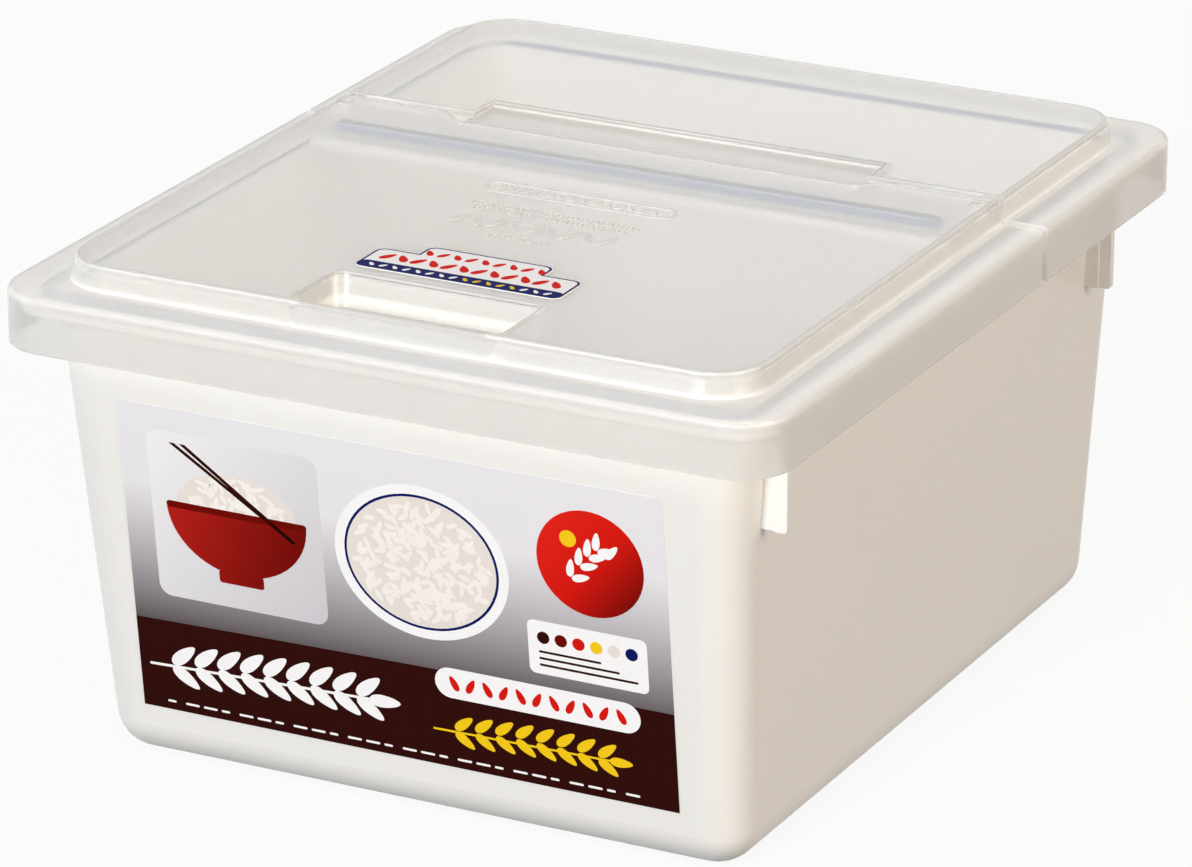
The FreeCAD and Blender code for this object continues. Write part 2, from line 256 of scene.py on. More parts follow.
def translucent_polypropylene(settings):
    """Unfilled polypropylene moulded thin: milky, what touches its back shows through softly."""
    material, tree = new_material("moulded_polypropylene_translucent")
    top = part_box("rear_lid")[1].z
    height = object_height(tree)
    skirt, flange, wall, plate = (tuple(tint) for tint in (
        settings.lid_skirt_shaded, settings.lid_flange, settings.lid_wall_shaded, settings.lid))
    # each band of the lid by its depth under the lid's top, in millimetres; the darker skirt and
    # wall bands are painted shade
    bands = ((LID_DEPTH, skirt), (12.3, skirt), (9.9, flange), (8.4, flange),
             (7.2, wall), (3.6, wall), (2.4, plate), (0.0, plate))
    ramp = colour_ramp(tree, over_range(tree, height, top - mm(LID_DEPTH), top),
                       [(1.0 - depth / LID_DEPTH, tint) for depth, tint in bands])
    tone = add_node(tree, "ShaderNodeMix", {
        "Factor": 1.0, 6: ramp.outputs["Color"],
        7: drift(tree, 110.0, linear("#ffffff"), linear("#fcfcfc"))},
        data_type="RGBA", blend_type="MULTIPLY")
    under, inside = top - mm(3.2), top - mm(2.3)
    finish_thin_wall(tree, {
        "Base Color": tone.outputs[2], "IOR": POLYPROPYLENE_IOR,
        "Roughness": over_range(tree, height, under, inside,
                                settings.wall_frost, settings.lid_frost),
        "Transmission Weight": over_range(tree, height, under, inside,
                                          settings.wall_clearness, settings.lid_clearness),
        "Normal": moulded_bump(tree, *LID_UNEVENNESS)})
    return material


def thick_polypropylene(name, tint):
    """The lids' moulding for the edge beads and the relief: milkier, so it reads as pale lines;
    this paleness is partly painted highlight, standing for lit rounded edges and raised shapes.
    """
    material, tree = new_material("moulded_polypropylene_" + name)
    finish_thin_wall(tree, {
        "Base Color": drift(tree, 60.0, tint, shade(tint, 0.985)), "Roughness": 0.3,
        "IOR": POLYPROPYLENE_IOR, "Transmission Weight": 0.3,
        "Normal": moulded_bump(tree, *LID_UNEVENNESS)})
    return material


def elastomer(settings, node):
    """Thermoplastic elastomer, dry skin; painted shade makes it dark on top where it meets the lid,
    and painted light makes its sides paler, with a thin painted highlight line between.
    """
    material, tree = new_material("moulded_elastomer_" + node)
    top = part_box(node)[1].z
    # painted light on the packing: paler lit sides, a thin pale painted highlight line, and painted
    # shade on the top where it meets the lid
    side, pressed_in_shade = tuple(settings.packing_lit_side), tuple(settings.packing_shaded_top)
    ramp = colour_ramp(tree, over_range(tree, object_height(tree), top - mm(1.0), top), (
        (0.0, side), (0.3, side), (0.5, linear("#b6cadb")), (0.7, pressed_in_shade), (1.0, pressed_in_shade)))
    ramp.color_ramp.interpolation = "CONSTANT"
    finish_solid(tree, {
        "Base Color": ramp.outputs["Color"], "Roughness": 0.55, "IOR": 1.5,
        "Normal": moulded_bump(tree, 0.8, 0.02)})
    return material


def clear_polystyrene(settings):
    """Clear moulded polystyrene: glossy, with a faint frost where it was drawn from the tool."""
    material, tree = new_material("moulded_polystyrene_clear")
    finish_solid(tree, {
        "Base Color": tuple(settings.cup), "Roughness": 0.14, "IOR": 1.59,
        "Transmission Weight": 0.85, "Normal": moulded_bump(tree, 4.0, 0.01)})
    return material


def printed_ink(name, colour):
    """Offset ink under matt varnish: full colour with a faint mottle and hardly any glare."""
    material, tree = new_material(name)
    finish_solid(tree, {
        "Base Color": drift(tree, 5.0, colour, shade(colour, 1.06)),
        "Normal": moulded_bump(tree, *INK_UNEVENNESS), **INK})
    return material


def graded_ink(name, stops, start, end):
    """Ink that runs from one colour to another between two points, in metres."""
    material, tree = new_material(name)
    start, end = Vector(start), Vector(end)
    run = end - start
    place = add_node(tree, "ShaderNodeTexCoord")
    along = add_node(tree, "ShaderNodeVectorMath", {0: place.outputs["Object"], 1: tuple(run)},
                     operation="DOT_PRODUCT")
    share = over_range(tree, along.outputs["Value"], start.dot(run), end.dot(run))
    finish_solid(tree, {
        "Base Color": colour_ramp(tree, share, stops).outputs["Color"],
        "Normal": moulded_bump(tree, *INK_UNEVENNESS), **INK})
    return material


def dress(node, material):
    """Gives a carried-over node its material."""
    for slot in NODES[node].material_slots:
        slot.material = material


def ink_set(prints):
    """The label's and sticker's flat inks by name, made once."""
    made = {}
    for name in ("band", "red", "deep_red", "yellow", "navy", "white", "rice"):
        full = "printed_ink_" + name
        made[name] = (bpy.data.materials.get(full)
                      or printed_ink(full, tuple(getattr(prints, name))))
    return made


# -------------------- flat printed shapes
def arc(cu, cv, half_u, half_v, start, sweep, steps):
    """Points along part of an ellipse in millimetres; angles in degrees."""
    angles = [math.radians(start + sweep * step / steps) for step in range(steps + 1)]
    return [(cu + half_u * math.cos(angle), cv + half_v * math.sin(angle)) for angle in angles]


def rounded_bar(u0, v0, width, height, radius, steps=8):
    """Outline of a rounded rectangle in millimetres, anticlockwise."""
    near, far = u0 + radius, u0 + width - radius
    low, high = v0 + radius, v0 + height - radius
    points = []
    for cu, cv, start in ((far, high, 0), (near, high, 90), (near, low, 180), (far, low, 270)):
        points += arc(cu, cv, radius, radius, start, 90.0, steps)
    return points


def oval(cu, cv, half_u, half_v, steps=64):
    """Outline of an ellipse in millimetres, anticlockwise."""
    return [(cu + half_u * math.cos(2.0 * math.pi * step / steps),
             cv + half_v * math.sin(2.0 * math.pi * step / steps)) for step in range(steps)]


def grain(cu, cv, length, width, turn, steps=10):
    """Outline of one rice grain: an ellipse with a blunt and a pointed end."""
    tilt = math.radians(turn)
    taper = 0.28
    points = []
    for step in range(2 * steps):
        angle = math.pi * step / steps
        u = 0.5 * length * math.cos(angle)
        v = 0.5 * width * math.sin(angle) * (1.0 - taper * math.cos(angle))
        points.append((cu + u * math.cos(tilt) - v * math.sin(tilt),
                       cv + u * math.sin(tilt) + v * math.cos(tilt)))
    return points


def ear(u0, v0, u1, v1, pairs, length, width, spread):
    """Grains in pairs along a slightly bowed stalk, with one at its tip."""
    grains = []
    rise, gap = 2.0, 1.0  # of the bow, and from the stalk to a grain, in millimetres
    reach = 0.5 * length + gap
    run = math.degrees(math.atan2(v1 - v0, u1 - u0))
    for pair in range(pairs):
        share = (pair + 0.5) / pairs
        cu, cv = u0 + (u1 - u0) * share, v0 + (v1 - v0) * share + rise * math.sin(math.pi * share)
        for side in (-1, 1):
            turn = run + side * spread
            grains.append(grain(cu + reach * math.cos(math.radians(turn)),
                                cv + reach * math.sin(math.radians(turn)), length, width, turn))
    grains.append(grain(u1 + reach, v1, length, width, run))
    return grains


class Print:
    """Collects flat plates of ink on one film and makes one piece of them."""

    def __init__(self, name, step):
        self.name = name
        self.step = step
        self.mesh = bmesh.new()
        self.materials = []

    def plate(self, outline, material, layer):
        """One closed plate; layer counts how many inks thick it stands on the film."""
        if material not in self.materials:
            self.materials.append(material)
        low = [self.mesh.verts.new((mm(u), mm(v), 0.0)) for u, v in outline]
        high = [self.mesh.verts.new((mm(u), mm(v), self.step * layer)) for u, v in outline]
        count = len(outline)
        faces = [self.mesh.faces.new(list(reversed(low))), self.mesh.faces.new(high)]
        for index in range(count):
            after = (index + 1) % count
            faces.append(self.mesh.faces.new((low[index], low[after], high[after], high[index])))
        for face in faces:
            face.material_index = self.materials.index(material)

    def stack(self, outlines, material, layer):
        """Plates that overlap, each a little higher than the one before, so that none coincide."""
        rise = 0.04  # share of an ink's thickness
        for index, outline in enumerate(outlines):
            self.plate(outline, material, layer + rise * index)

    def finish(self, place, body):
        """Makes the piece, moved by a matrix to its place."""
        self.mesh.normal_update()
        bmesh.ops.triangulate(self.mesh, faces=self.mesh.faces)
        data = mesh_of(self.mesh, self.name, self.materials)
        settle(self.name, data, place, body)


def settle(name, data, place, body):
    """Puts a mesh at its place and hands the piece to its body."""
    data.transform(place)
    data.name = name
    piece = add_object(name, data)
    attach(piece, body)


def label_plane():
    """Matrix from the front label's own plane (u right, v up, n out) to the bin."""
    low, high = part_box("front_label")
    film = mm(0.2)
    lean = math.atan2(high.y - low.y - film, high.z - low.z)
    across = Vector((1.0, 0.0, 0.0))
    upward = Vector((0.0, -math.sin(lean), math.cos(lean)))
    outward = Vector((0.0, -math.cos(lean), -math.sin(lean)))
    matrix = Matrix((across, upward, outward)).transposed().to_4x4()
    matrix.translation = Vector((low.x, high.y - film * math.cos(lean), low.z))
    return matrix


def top_plane(node):
    """Matrix from the plane on a node's highest face to the bin; only the height moves."""
    return Matrix.Translation((0.0, 0.0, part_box(node)[1].z))


# -------------------- motifs of the prints
# Places on the front label are in millimetres from its lower left corner: u right, v up.
BOWL_AT = (45.0, 85.0)
PLATE_AT = (118.0, 80.0)
BAND_HEIGHT, BAND_BOW = 36.0, 3.0


def on_label(plane, u, v):
    """A place on the label as a point of the bin."""
    return plane @ Vector((mm(u), mm(v), 0.0))


def grain_row(sheet, row_inks, u, v, pitch, length, width, turns, layer):
    """A row of grains, one for each ink, turned one way and the other by turns."""
    for index, ink in enumerate(row_inks):
        sheet.plate(grain(u + pitch * index, v, length, width, turns[index % 2]), ink, layer)


def bowl_motif(sheet, inks, prints, plane):
    """A bowl of rice with two sticks in a pale panel."""
    panel = graded_ink("printed_ink_panel", ((0.0, linear("#f1f0f2")), (1.0, linear("#cfccd2"))),
                       on_label(plane, 12.0, 112.0), on_label(plane, 80.0, 50.0))
    lacquer = graded_ink("printed_ink_lacquer", (
        (0.0, linear("#b3201a")), (0.55, linear("#8c1510")), (1.0, tuple(prints.deep_red))),
        on_label(plane, 18.0, 85.0), on_label(plane, 72.0, 66.0))
    foot = rounded_bar(36.0, 56.5, 18.0, 5.0, 1.2)
    rim = rounded_bar(17.0, 83.2, 56.0, 2.6, 1.2)
    sheet.plate(rounded_bar(11.0, 47.0, 68.0, 66.0, 5.0), panel, 1)
    sheet.plate(arc(*BOWL_AT, 24.0, 15.0, 0.0, 180.0, 18), inks["rice"], 2)
    sheet.plate(arc(*BOWL_AT, 28.0, 25.0, 180.0, 180.0, 30), lacquer, 3)
    sheet.plate(foot, lacquer, 2)
    sheet.plate(rim, inks["deep_red"], 4)
    for shift in (0.0, 4.2):
        stick = [(67.0, 77.4), (68.4, 78.0), (22.2 + shift, 109.0), (20.0 + shift, 109.0)]
        sheet.plate(stick, inks["band"], 4)


def plate_motif(sheet, inks):
    """A round plate with a navy line; its grains are a piece of their own."""
    for half_u, half_v, ink, layer in ((34.0, 30.0, "white", 1), (30.2, 26.4, "navy", 2),
                                       (29.2, 25.4, "rice", 3)):
        sheet.plate(oval(*PLATE_AT, half_u, half_v), inks[ink], layer)


def disc_motif(sheet, inks, prints, plane):
    """A red disc with a white ear and a yellow dot."""
    disc = graded_ink("printed_ink_disc", (
        (0.0, linear("#e0241a")), (0.5, tuple(prints.red)), (1.0, tuple(prints.deep_red))),
        on_label(plane, 168.0, 104.0), on_label(plane, 200.0, 76.0))
    sheet.plate(oval(184.0, 92.0, 20.5, 20.5), disc, 1)
    kernels = ear(174.0, 82.0, 188.0, 98.0, pairs=4, length=7.0, width=2.9, spread=34.0)
    sheet.stack(kernels, inks["white"], 2)
    sheet.plate(oval(176.0, 100.5, 3.2, 3.2, 24), inks["yellow"], 2)


def swatch_motif(sheet, inks):
    """A small panel with six swatches over three rules."""
    sheet.plate(rounded_bar(158.0, 45.0, 46.0, 21.0, 2.4), inks["white"], 1)
    for index, ink in enumerate(("band", "deep_red", "red", "yellow", "rice", "navy")):
        sheet.plate(oval(164.0 + 6.8 * index, 59.5, 2.4, 2.4, 24), inks[ink], 2)
    for row in range(3):
        rule = rounded_bar(162.0, 48.2 + 2.6 * row, 38.0 - 7.0 * row, 0.9, 0.4, 3)
        sheet.plate(rule, inks["band"], 2)


def band_motifs(sheet, inks):
    """A pill of red grains, a white and a yellow ear, and a dashed line."""
    sheet.plate(rounded_bar(120.0, 28.0, 80.0, 12.0, 6.0), inks["white"], 2)
    grain_row(sheet, [inks["red"]] * 11, 127.5, 34.0, 6.5, 6.4, 2.7, (118.0, 62.0), 3)
    kernels = ear(8.0, 18.0, 92.0, 21.0, pairs=9, length=12.5, width=4.9, spread=38.0)
    sheet.stack(kernels, inks["white"], 2)
    sheet.plate([(4.0, 17.2), (94.0, 20.4), (94.0, 21.4), (4.0, 18.2)], inks["white"], 3)
    kernels = ear(122.0, 14.5, 186.0, 15.5, pairs=8, length=9.0, width=3.6, spread=38.0)
    sheet.stack(kernels, inks["yellow"], 2)
    sheet.plate([(118.0, 14.0), (188.0, 15.1), (188.0, 15.9), (118.0, 14.8)], inks["yellow"], 3)
    for index in range(26):
        dash = 5.6 if index % 3 else 3.4
        sheet.plate(rounded_bar(10.0 + 7.3 * index, 3.0, dash, 0.9, 0.4, 3), inks["white"], 2)


def sticker_outline(left, right, front, rear, inset, radius):
    """The sticker's bar with its tab behind, set in all round."""
    bar_depth, tab_left, tab_right = 21.0, 15.5, 65.5
    u0, u1, v0, v1 = left + inset, right - inset, front + inset, front + bar_depth - inset
    t0, t1, v2 = left + tab_left + inset, left + tab_right - inset, rear - inset

    def corner(cu, cv, start):
        return arc(cu, cv, radius, radius, start, 90.0, 6)

    return (corner(u1 - radius, v0 + radius, -90.0) + corner(u1 - radius, v1 - radius, 0.0)
            + [(t1, v1)] + corner(t1 - radius, v2 - radius, 0.0)
            + corner(t0 + radius, v2 - radius, 90.0) + [(t0, v1)]
            + corner(u0 + radius, v1 - radius, 90.0) + corner(u0 + radius, v0 + radius, 180.0))


# -------------------- thick edges of the lids
def bead(name, points, height, radius, material, body):
    """A round edge in millimetres along points at one height, handed to its body."""
    curve = bpy.data.curves.new(name, "CURVE")
    curve.dimensions = "3D"
    curve.bevel_depth = mm(radius)
    curve.bevel_resolution = 2
    curve.use_fill_caps = True
    spline = curve.splines.new("POLY")
    spline.points.add(len(points) - 1)
    for point, (x, y) in zip(spline.points, points):
        point.co = (mm(x), mm(y), mm(height), 1.0)
    holder = add_object(name + "_path", curve)
    graph = bpy.context.evaluated_depsgraph_get()
    data = bpy.data.meshes.new_from_object(holder.evaluated_get(graph))
    bpy.data.objects.remove(holder)
    data.materials.clear()
    data.materials.append(material)
    for face in data.polygons:
        face.use_smooth = True
    settle(name, data, Matrix.Identity(4), body)


def horseshoe(half, y_open, y_far, radius):
    """Three sides of a rounded rectangle, open at y_open."""
    way = 1.0 if y_far > y_open else -1.0
    turn = 90.0 * way
    cx, cy = half - radius, y_far - way * radius
    return ([(-half, y_open)] + arc(-cx, cy, radius, radius, 180.0, -turn, 10)
            + arc(cx, cy, radius, radius, turn, -turn, 10) + [(half, y_open)])


# -------------------- geometry node trees
SECOND_DRAW, THIRD_DRAW = 7.0, 19.0  # added to the seed for the later random draws
GRAIN_WIDTH = 0.4  # of a loose grain's length
TICK_STROKE = {"Width": 0.006, "Height": 0.022}  # section of a cup tick on an arc of radius 1
TICK_RISE = 45.0  # about 1 / 0.022: makes a section as high as its tick is thick


def reckon(tree, operation, *values):
    """Result of a math node on values or sockets."""
    return add_node(tree, "ShaderNodeMath", dict(enumerate(values)),
                    operation=operation).outputs["Value"]


def vector(tree, x=0.0, y=0.0, z=0.0):
    """Three values or sockets as one vector."""
    return add_node(tree, "ShaderNodeCombineXYZ", {"X": x, "Y": y, "Z": z}).outputs["Vector"]


def draw(tree, number, seed, high):
    """A random value from 0 to high for each element."""
    return add_node(tree, "FunctionNodeRandomValue", {
        2: 0.0, 3: high, "ID": number, "Seed": seed}).outputs[1]


def line_points(tree, given, start, end):
    """As many points as the input Count, in a line."""
    line = add_node(tree, "GeometryNodeMeshLine", {
        "Count": given["Count"], "Start Location": start, "Offset": end},
        mode="END_POINTS")
    return line.outputs["Mesh"]


def new_tree(name, inputs):
    """An empty geometry tree with number inputs, each with its first value, and their sockets."""
    tree = bpy.data.node_groups.new(name, "GeometryNodeTree")
    for label, value in inputs.items():
        kind = "NodeSocketInt" if isinstance(value, int) else "NodeSocketFloat"
        socket = tree.interface.new_socket(label, in_out="INPUT", socket_type=kind)
        socket.default_value = value
    tree.interface.new_socket("Geometry", in_out="OUTPUT", socket_type="NodeSocketGeometry")
    return tree, tree.nodes.new("NodeGroupInput").outputs


def bake_tree(tree, material, settings, name):
    """Evaluates a geometry tree on an empty mesh with its inputs set, and gives a plain mesh."""
    holder = add_object(name + "_holder", bpy.data.meshes.new(name + "_holder"))
    modifier = holder.modifiers.new("made", "NODES")
    modifier.node_group = tree
    for item in tree.interface.items_tree:
        if item.in_out == "INPUT" and item.name in settings:
            modifier[item.identifier] = settings[item.name]
    graph = bpy.context.evaluated_depsgraph_get()
    graph.update()
    data = bpy.data.meshes.new_from_object(holder.evaluated_get(graph))
    bpy.data.objects.remove(holder)
    if not data.polygons:
        raise RuntimeError(name + " came out empty")
    data.materials.clear()
    data.materials.append(material)
    return data


def bake_rows(tree, material, name, rows):
    """Bakes a tree once for each (place, inputs) into one bmesh."""
    made = bmesh.new()
    for place, inputs in rows:
        data = bake_tree(tree, material, inputs, name)
        data.transform(Matrix.Translation(place))
        made.from_mesh(data)
        bpy.data.meshes.remove(data)
    return made


def mesh_of(made, name, materials):
    """The plain mesh of a bmesh, which is freed."""
    data = bpy.data.meshes.new(name)
    made.to_mesh(data)
    made.free()
    for material in materials:
        data.materials.append(material)
    return data


def end_tree(tree, material, points, instance, size, turn=(0.0, 0.0, 0.0)):
    """Ends a geometry tree: an instance on each point, made real, with its material."""
    placed = add_node(tree, "GeometryNodeInstanceOnPoints", {
        "Points": points, "Instance": instance, "Rotation": turn, "Scale": size})
    whole = add_node(tree, "GeometryNodeRealizeInstances", {
        "Geometry": placed.outputs["Instances"]})
    made = add_node(tree, "GeometryNodeSetMaterial", {
        "Geometry": whole.outputs["Geometry"], "Material": material})
    add_node(tree, "NodeGroupOutput", {"Geometry": made.outputs["Geometry"]})
    return tree


def loose_grains(material):
    """Grains strewn over an oval plate: count, plate size, grain size and seed are inputs."""
    tree, given = new_tree("loose_grains", {
        "Count": 100, "Half Width": 0.03, "Half Height": 0.02, "Grain Length": 0.004,
        "Step": 0.0000005, "Seed": 1})
    number = add_node(tree, "GeometryNodeInputIndex").outputs["Index"]
    seed, length = given["Seed"], given["Grain Length"]
    points = add_node(tree, "GeometryNodePoints", {"Count": given["Count"]})
    angle = draw(tree, number, seed, 2.0 * math.pi)
    root = reckon(tree, "SQRT", draw(tree, number, reckon(tree, "ADD", seed, SECOND_DRAW), 1.0))
    parts = []
    for wave, half in (("COSINE", "Half Width"), ("SINE", "Half Height")):
        scaled = reckon(tree, "MULTIPLY", reckon(tree, wave, angle), root)
        parts.append(reckon(tree, "MULTIPLY", scaled, given[half]))
    parts.append(reckon(tree, "MULTIPLY", number, given["Step"]))
    moved = add_node(tree, "GeometryNodeSetPosition", {
        "Geometry": points.outputs["Points"], "Position": vector(tree, *parts)})
    turn = draw(tree, number, reckon(tree, "ADD", seed, THIRD_DRAW), math.pi)
    kernel = add_node(tree, "GeometryNodeMeshCylinder", {
        "Vertices": 10, "Radius": 0.5, "Depth": 0.02})
    size = vector(tree, length, reckon(tree, "MULTIPLY", length, GRAIN_WIDTH), mm(1.0))
    return end_tree(tree, material, moved.outputs["Geometry"], kernel.outputs["Mesh"], size,
                    vector(tree, z=turn))


def raised_row(material):
    """A row of raised bars: count, run, bar size and slant are inputs."""
    tree, given = new_tree("raised_row", {
        "Count": 10, "Run": 0.06, "Bar Width": 0.001, "Bar Length": 0.004, "Height": 0.0003,
        "Slant": 0.0})
    ends = [vector(tree, reckon(tree, "MULTIPLY", given["Run"], share))
            for share in (-0.5, 0.5)]
    bar = add_node(tree, "GeometryNodeMeshCylinder", {"Vertices": 12, "Radius": 0.5, "Depth": 1.0})
    size = vector(tree, *(given[name] for name in ("Bar Width", "Bar Length", "Height")))
    number = add_node(tree, "GeometryNodeInputIndex")
    # neighbours slant opposite ways: 0 and 1 become -1 and 1
    odd = reckon(tree, "MODULO", number.outputs["Index"], 2.0)
    signed = reckon(tree, "MULTIPLY_ADD", odd, 2.0, -1.0)
    turn = vector(tree, z=reckon(tree, "MULTIPLY", signed, given["Slant"]))
    return end_tree(tree, material, line_points(tree, given, *ends), bar.outputs["Mesh"], size,
                    turn)


def cup_ticks(material):
    """Arcs up a cone: count, heights, radii, sweep and thickness are inputs."""
    tree, given = new_tree("cup_ticks", {
        "Count": 7, "Low": 0.01, "High": 0.04, "Low Radius": 0.03, "High Radius": 0.035,
        "Start": -1.7, "Sweep": 0.3, "Thickness": 0.0006})
    ends = [vector(tree, z=given[end]) for end in ("Low", "High")]
    curve = add_node(tree, "GeometryNodeCurveArc", {
        "Resolution": 12, "Radius": 1.0, "Start Angle": given["Start"],
        "Sweep Angle": given["Sweep"]})
    stroke = add_node(tree, "GeometryNodeCurvePrimitiveQuadrilateral", TICK_STROKE)
    bar = add_node(tree, "GeometryNodeCurveToMesh", {
        "Curve": curve.outputs["Curve"], "Profile Curve": stroke.outputs["Curve"],
        "Fill Caps": True})
    place = add_node(tree, "GeometryNodeInputPosition")
    parts = add_node(tree, "ShaderNodeSeparateXYZ", {"Vector": place.outputs["Position"]})
    radius = over_range(tree, parts.outputs["Z"], given["Low"], given["High"],
                        given["Low Radius"], given["High Radius"])
    rise = reckon(tree, "MULTIPLY", given["Thickness"], TICK_RISE)
    return end_tree(tree, material, line_points(tree, given, *ends), bar.outputs["Mesh"],
                    vector(tree, radius, radius, rise))


# -------------------- stage
def look_from(azimuth, elevation, distance, target, roll):
    """Camera matrix for a view round the bin; angles in degrees, the rest in metres."""
    a, e, r = math.radians(azimuth), math.radians(elevation), math.radians(roll)
    back = Vector((math.sin(a) * math.cos(e), -math.cos(a) * math.cos(e), math.sin(e)))
    right = Vector((0.0, 0.0, 1.0)).cross(back).normalized()
    above = back.cross(right)
    across = right * math.cos(r) + above * math.sin(r)
    upright = above * math.cos(r) - right * math.sin(r)
    matrix = Matrix((across, upright, back)).transposed().to_4x4()
    matrix.translation = Vector(target) + back * distance
    return matrix


def area_lamp(name, place, size, watts, hex_colour, mirrored=True):
    """A square lamp that faces the bin; gloss shows it only if mirrored."""
    lamp = bpy.data.lights.new(name, "AREA")
    lamp.shape = "SQUARE"
    lamp.size = size
    lamp.energy = watts
    lamp.color = linear(hex_colour)[:3]
    holder = add_object(name, lamp)
    holder.location = place
    aim = Vector((0.0, 0.0, 0.1)) - Vector(place)
    holder.rotation_euler = aim.to_track_quat("-Z", "Y").to_euler()
    holder.visible_glossy = mirrored


def backdrop_share(tree):
    """1 for rays that see the background: from the camera, off gloss or through glass."""
    path = add_node(tree, "ShaderNodeLightPath")
    first = reckon(tree, "MAXIMUM", path.outputs["Is Camera Ray"], path.outputs["Is Glossy Ray"])
    return reckon(tree, "MAXIMUM", first, path.outputs["Is Transmission Ray"])


def studio_floor():
    """Seamless white paper: glows white to the eye and still takes a soft shadow."""
    material, tree = new_material("studio_paper_white")
    glow_share = 0.9
    paper = add_node(tree, "ShaderNodeBsdfDiffuse", {"Color": linear("#eeeeee")})
    glow = add_node(tree, "ShaderNodeEmission", {"Color": (1.0, 1.0, 1.0, 1.0),
                                                 "Strength": backdrop_share(tree)})
    both = add_node(tree, "ShaderNodeMixShader", {0: glow_share, 1: paper.outputs["BSDF"],
                                                  2: glow.outputs["Emission"]})
    finish_surface(tree, both.outputs["Shader"])
    return material


def white_world(strength):
    """An even surround of a strength, white to the eye, off gloss and through glass."""
    world = bpy.data.worlds.new("studio_white")
    bpy.context.scene.world = world
    world.use_nodes = True
    tree = world.node_tree
    tree.nodes.clear()
    light = add_node(tree, "ShaderNodeBackground", {
        "Color": (1.0, 1.0, 1.0, 1.0),
        "Strength": over_range(tree, backdrop_share(tree), 0.0, 1.0, strength, 1.0)})
    add_node(tree, "ShaderNodeOutputWorld", {"Surface": light.outputs["Background"]})


# -------------------- operators
class RICEBIN_OT_container(bpy.types.Operator):
    """Dresses the container in white polypropylene"""
    bl_idname = "ricebin.container"
    bl_label = "Container"

    def execute(self, context):
        dress("container", white_polypropylene(context.scene.ricebin_plastics))
        return {"FINISHED"}


class RICEBIN_OT_lids(bpy.types.Operator):
    """Dresses both lids in translucent polypropylene"""
    bl_idname = "ricebin.lids"
    bl_label = "Lids"

    def execute(self, context):
        material = translucent_polypropylene(context.scene.ricebin_plastics)
        dress("front_lid", material)
        dress("rear_lid", material)
        return {"FINISHED"}


class RICEBIN_OT_packings(bpy.types.Operator):
    """Dresses both packings in elastomer"""
    bl_idname = "ricebin.packings"
    bl_label = "Packings"

    def execute(self, context):
        for node in ("rim_packing", "bridge_packing"):
            dress(node, elastomer(context.scene.ricebin_plastics, node))
        return {"FINISHED"}


class RICEBIN_OT_measuring_cup(bpy.types.Operator):
    """Dresses the measuring cup and prints its scale"""
    bl_idname = "ricebin.measuring_cup"
    bl_label = "Measuring cup"

    def execute(self, context):
        prints = context.scene.ricebin_prints
        dress("measuring_cup", clear_polystyrene(context.scene.ricebin_plastics))
        dress("cup_scale", printed_ink("printed_ink_cup_red", tuple(prints.red)))
        white = ink_set(prints)["white"]
        low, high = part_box("measuring_cup")
        scale_low, scale_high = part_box("cup_scale")
        centre = ((low.x + high.x) / 2.0, (low.y + high.y) / 2.0)
        top_radius = centre[1] - scale_low.y
        slope = mm(7.0) / mm(60.0)  # how far the cup widens over its height
        margin = mm(3.0)
        bottom, top = scale_low.z + margin, scale_high.z - margin
        radius_low = top_radius - slope * (scale_high.z - bottom)
        radius_high = top_radius - slope * (scale_high.z - top)
        # ticks in each column, and their arc in degrees
        columns = ((10, -104.0, 22.0), (4, -132.0, 22.0), (4, -76.0, 40.0))
        made = bake_rows(cup_ticks(white), white, "cup_scale_marks", [((0.0, 0.0, 0.0), {
            "Count": count, "Low": bottom, "High": top, "Low Radius": radius_low,
            "High Radius": radius_high, "Start": math.radians(start),
            "Sweep": math.radians(sweep), "Thickness": mm(0.7)})
            for count, start, sweep in columns])
        settle("cup_scale_marks", mesh_of(made, "cup_scale_marks", [white]),
               Matrix.Translation((*centre, 0.0)), "cup")
        return {"FINISHED"}


class RICEBIN_OT_front_label(bpy.types.Operator):
    """Prints the front label: graded ground, maroon band, bowl, plate of grains and ears"""
    bl_idname = "ricebin.front_label"
    bl_label = "Front label"

    def execute(self, context):
        prints = context.scene.ricebin_prints
        inks = ink_set(prints)
        plane = label_plane()
        low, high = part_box("front_label")
        width, height = (high.x - low.x) * 1000.0, (high.z - low.z) * 1000.0
        ground = graded_ink("printed_film_graded", (
            (0.0, tuple(prints.ground_top)), (0.35, tuple(prints.ground_top)),
            (0.68, linear("#b3afb4")), (1.0, tuple(prints.ground_low))),
            on_label(plane, 0.0, height), on_label(plane, 0.0, BAND_HEIGHT))
        dress("front_label", ground)
        sheet = Print("front_label_print", prints.ink_step)
        steps = 24
        shares = [1.0 - step / steps for step in range(steps + 1)]
        band_top = [(width * share, BAND_HEIGHT + BAND_BOW * math.sin(share * math.pi * 0.5))
                    for share in shares]
        sheet.plate([(0.0, 0.0), (width, 0.0)] + band_top, inks["band"], 1)
        bowl_motif(sheet, inks, prints, plane)
        plate_motif(sheet, inks)
        disc_motif(sheet, inks, prints, plane)
        swatch_motif(sheet, inks)
        band_motifs(sheet, inks)
        sheet.finish(plane, "tub")

        grain_ink = printed_ink("printed_ink_grain", linear("#f4efea"))
        tree = loose_grains(grain_ink)
        mound_at = (BOWL_AT[0], BOWL_AT[1] + 3.0)
        heaps = (("front_label_grains", PLATE_AT, 3, prints.grain_count, (26.5, 22.7), 5.0,
                  0.0006, 11),
                 ("front_label_mound_grains", mound_at, 2, 90, (19.0, 10.5), 4.4, 0.0002, 5))
        for name, at, layer, count, half, length, step, seed in heaps:
            data = bake_tree(tree, grain_ink, {
                "Count": count, "Half Width": mm(half[0]), "Half Height": mm(half[1]),
                "Grain Length": mm(length), "Step": mm(step), "Seed": seed}, name)
            lift = Matrix.Translation((mm(at[0]), mm(at[1]), prints.ink_step * layer))
            settle(name, data, plane @ lift, "tub")
        return {"FINISHED"}


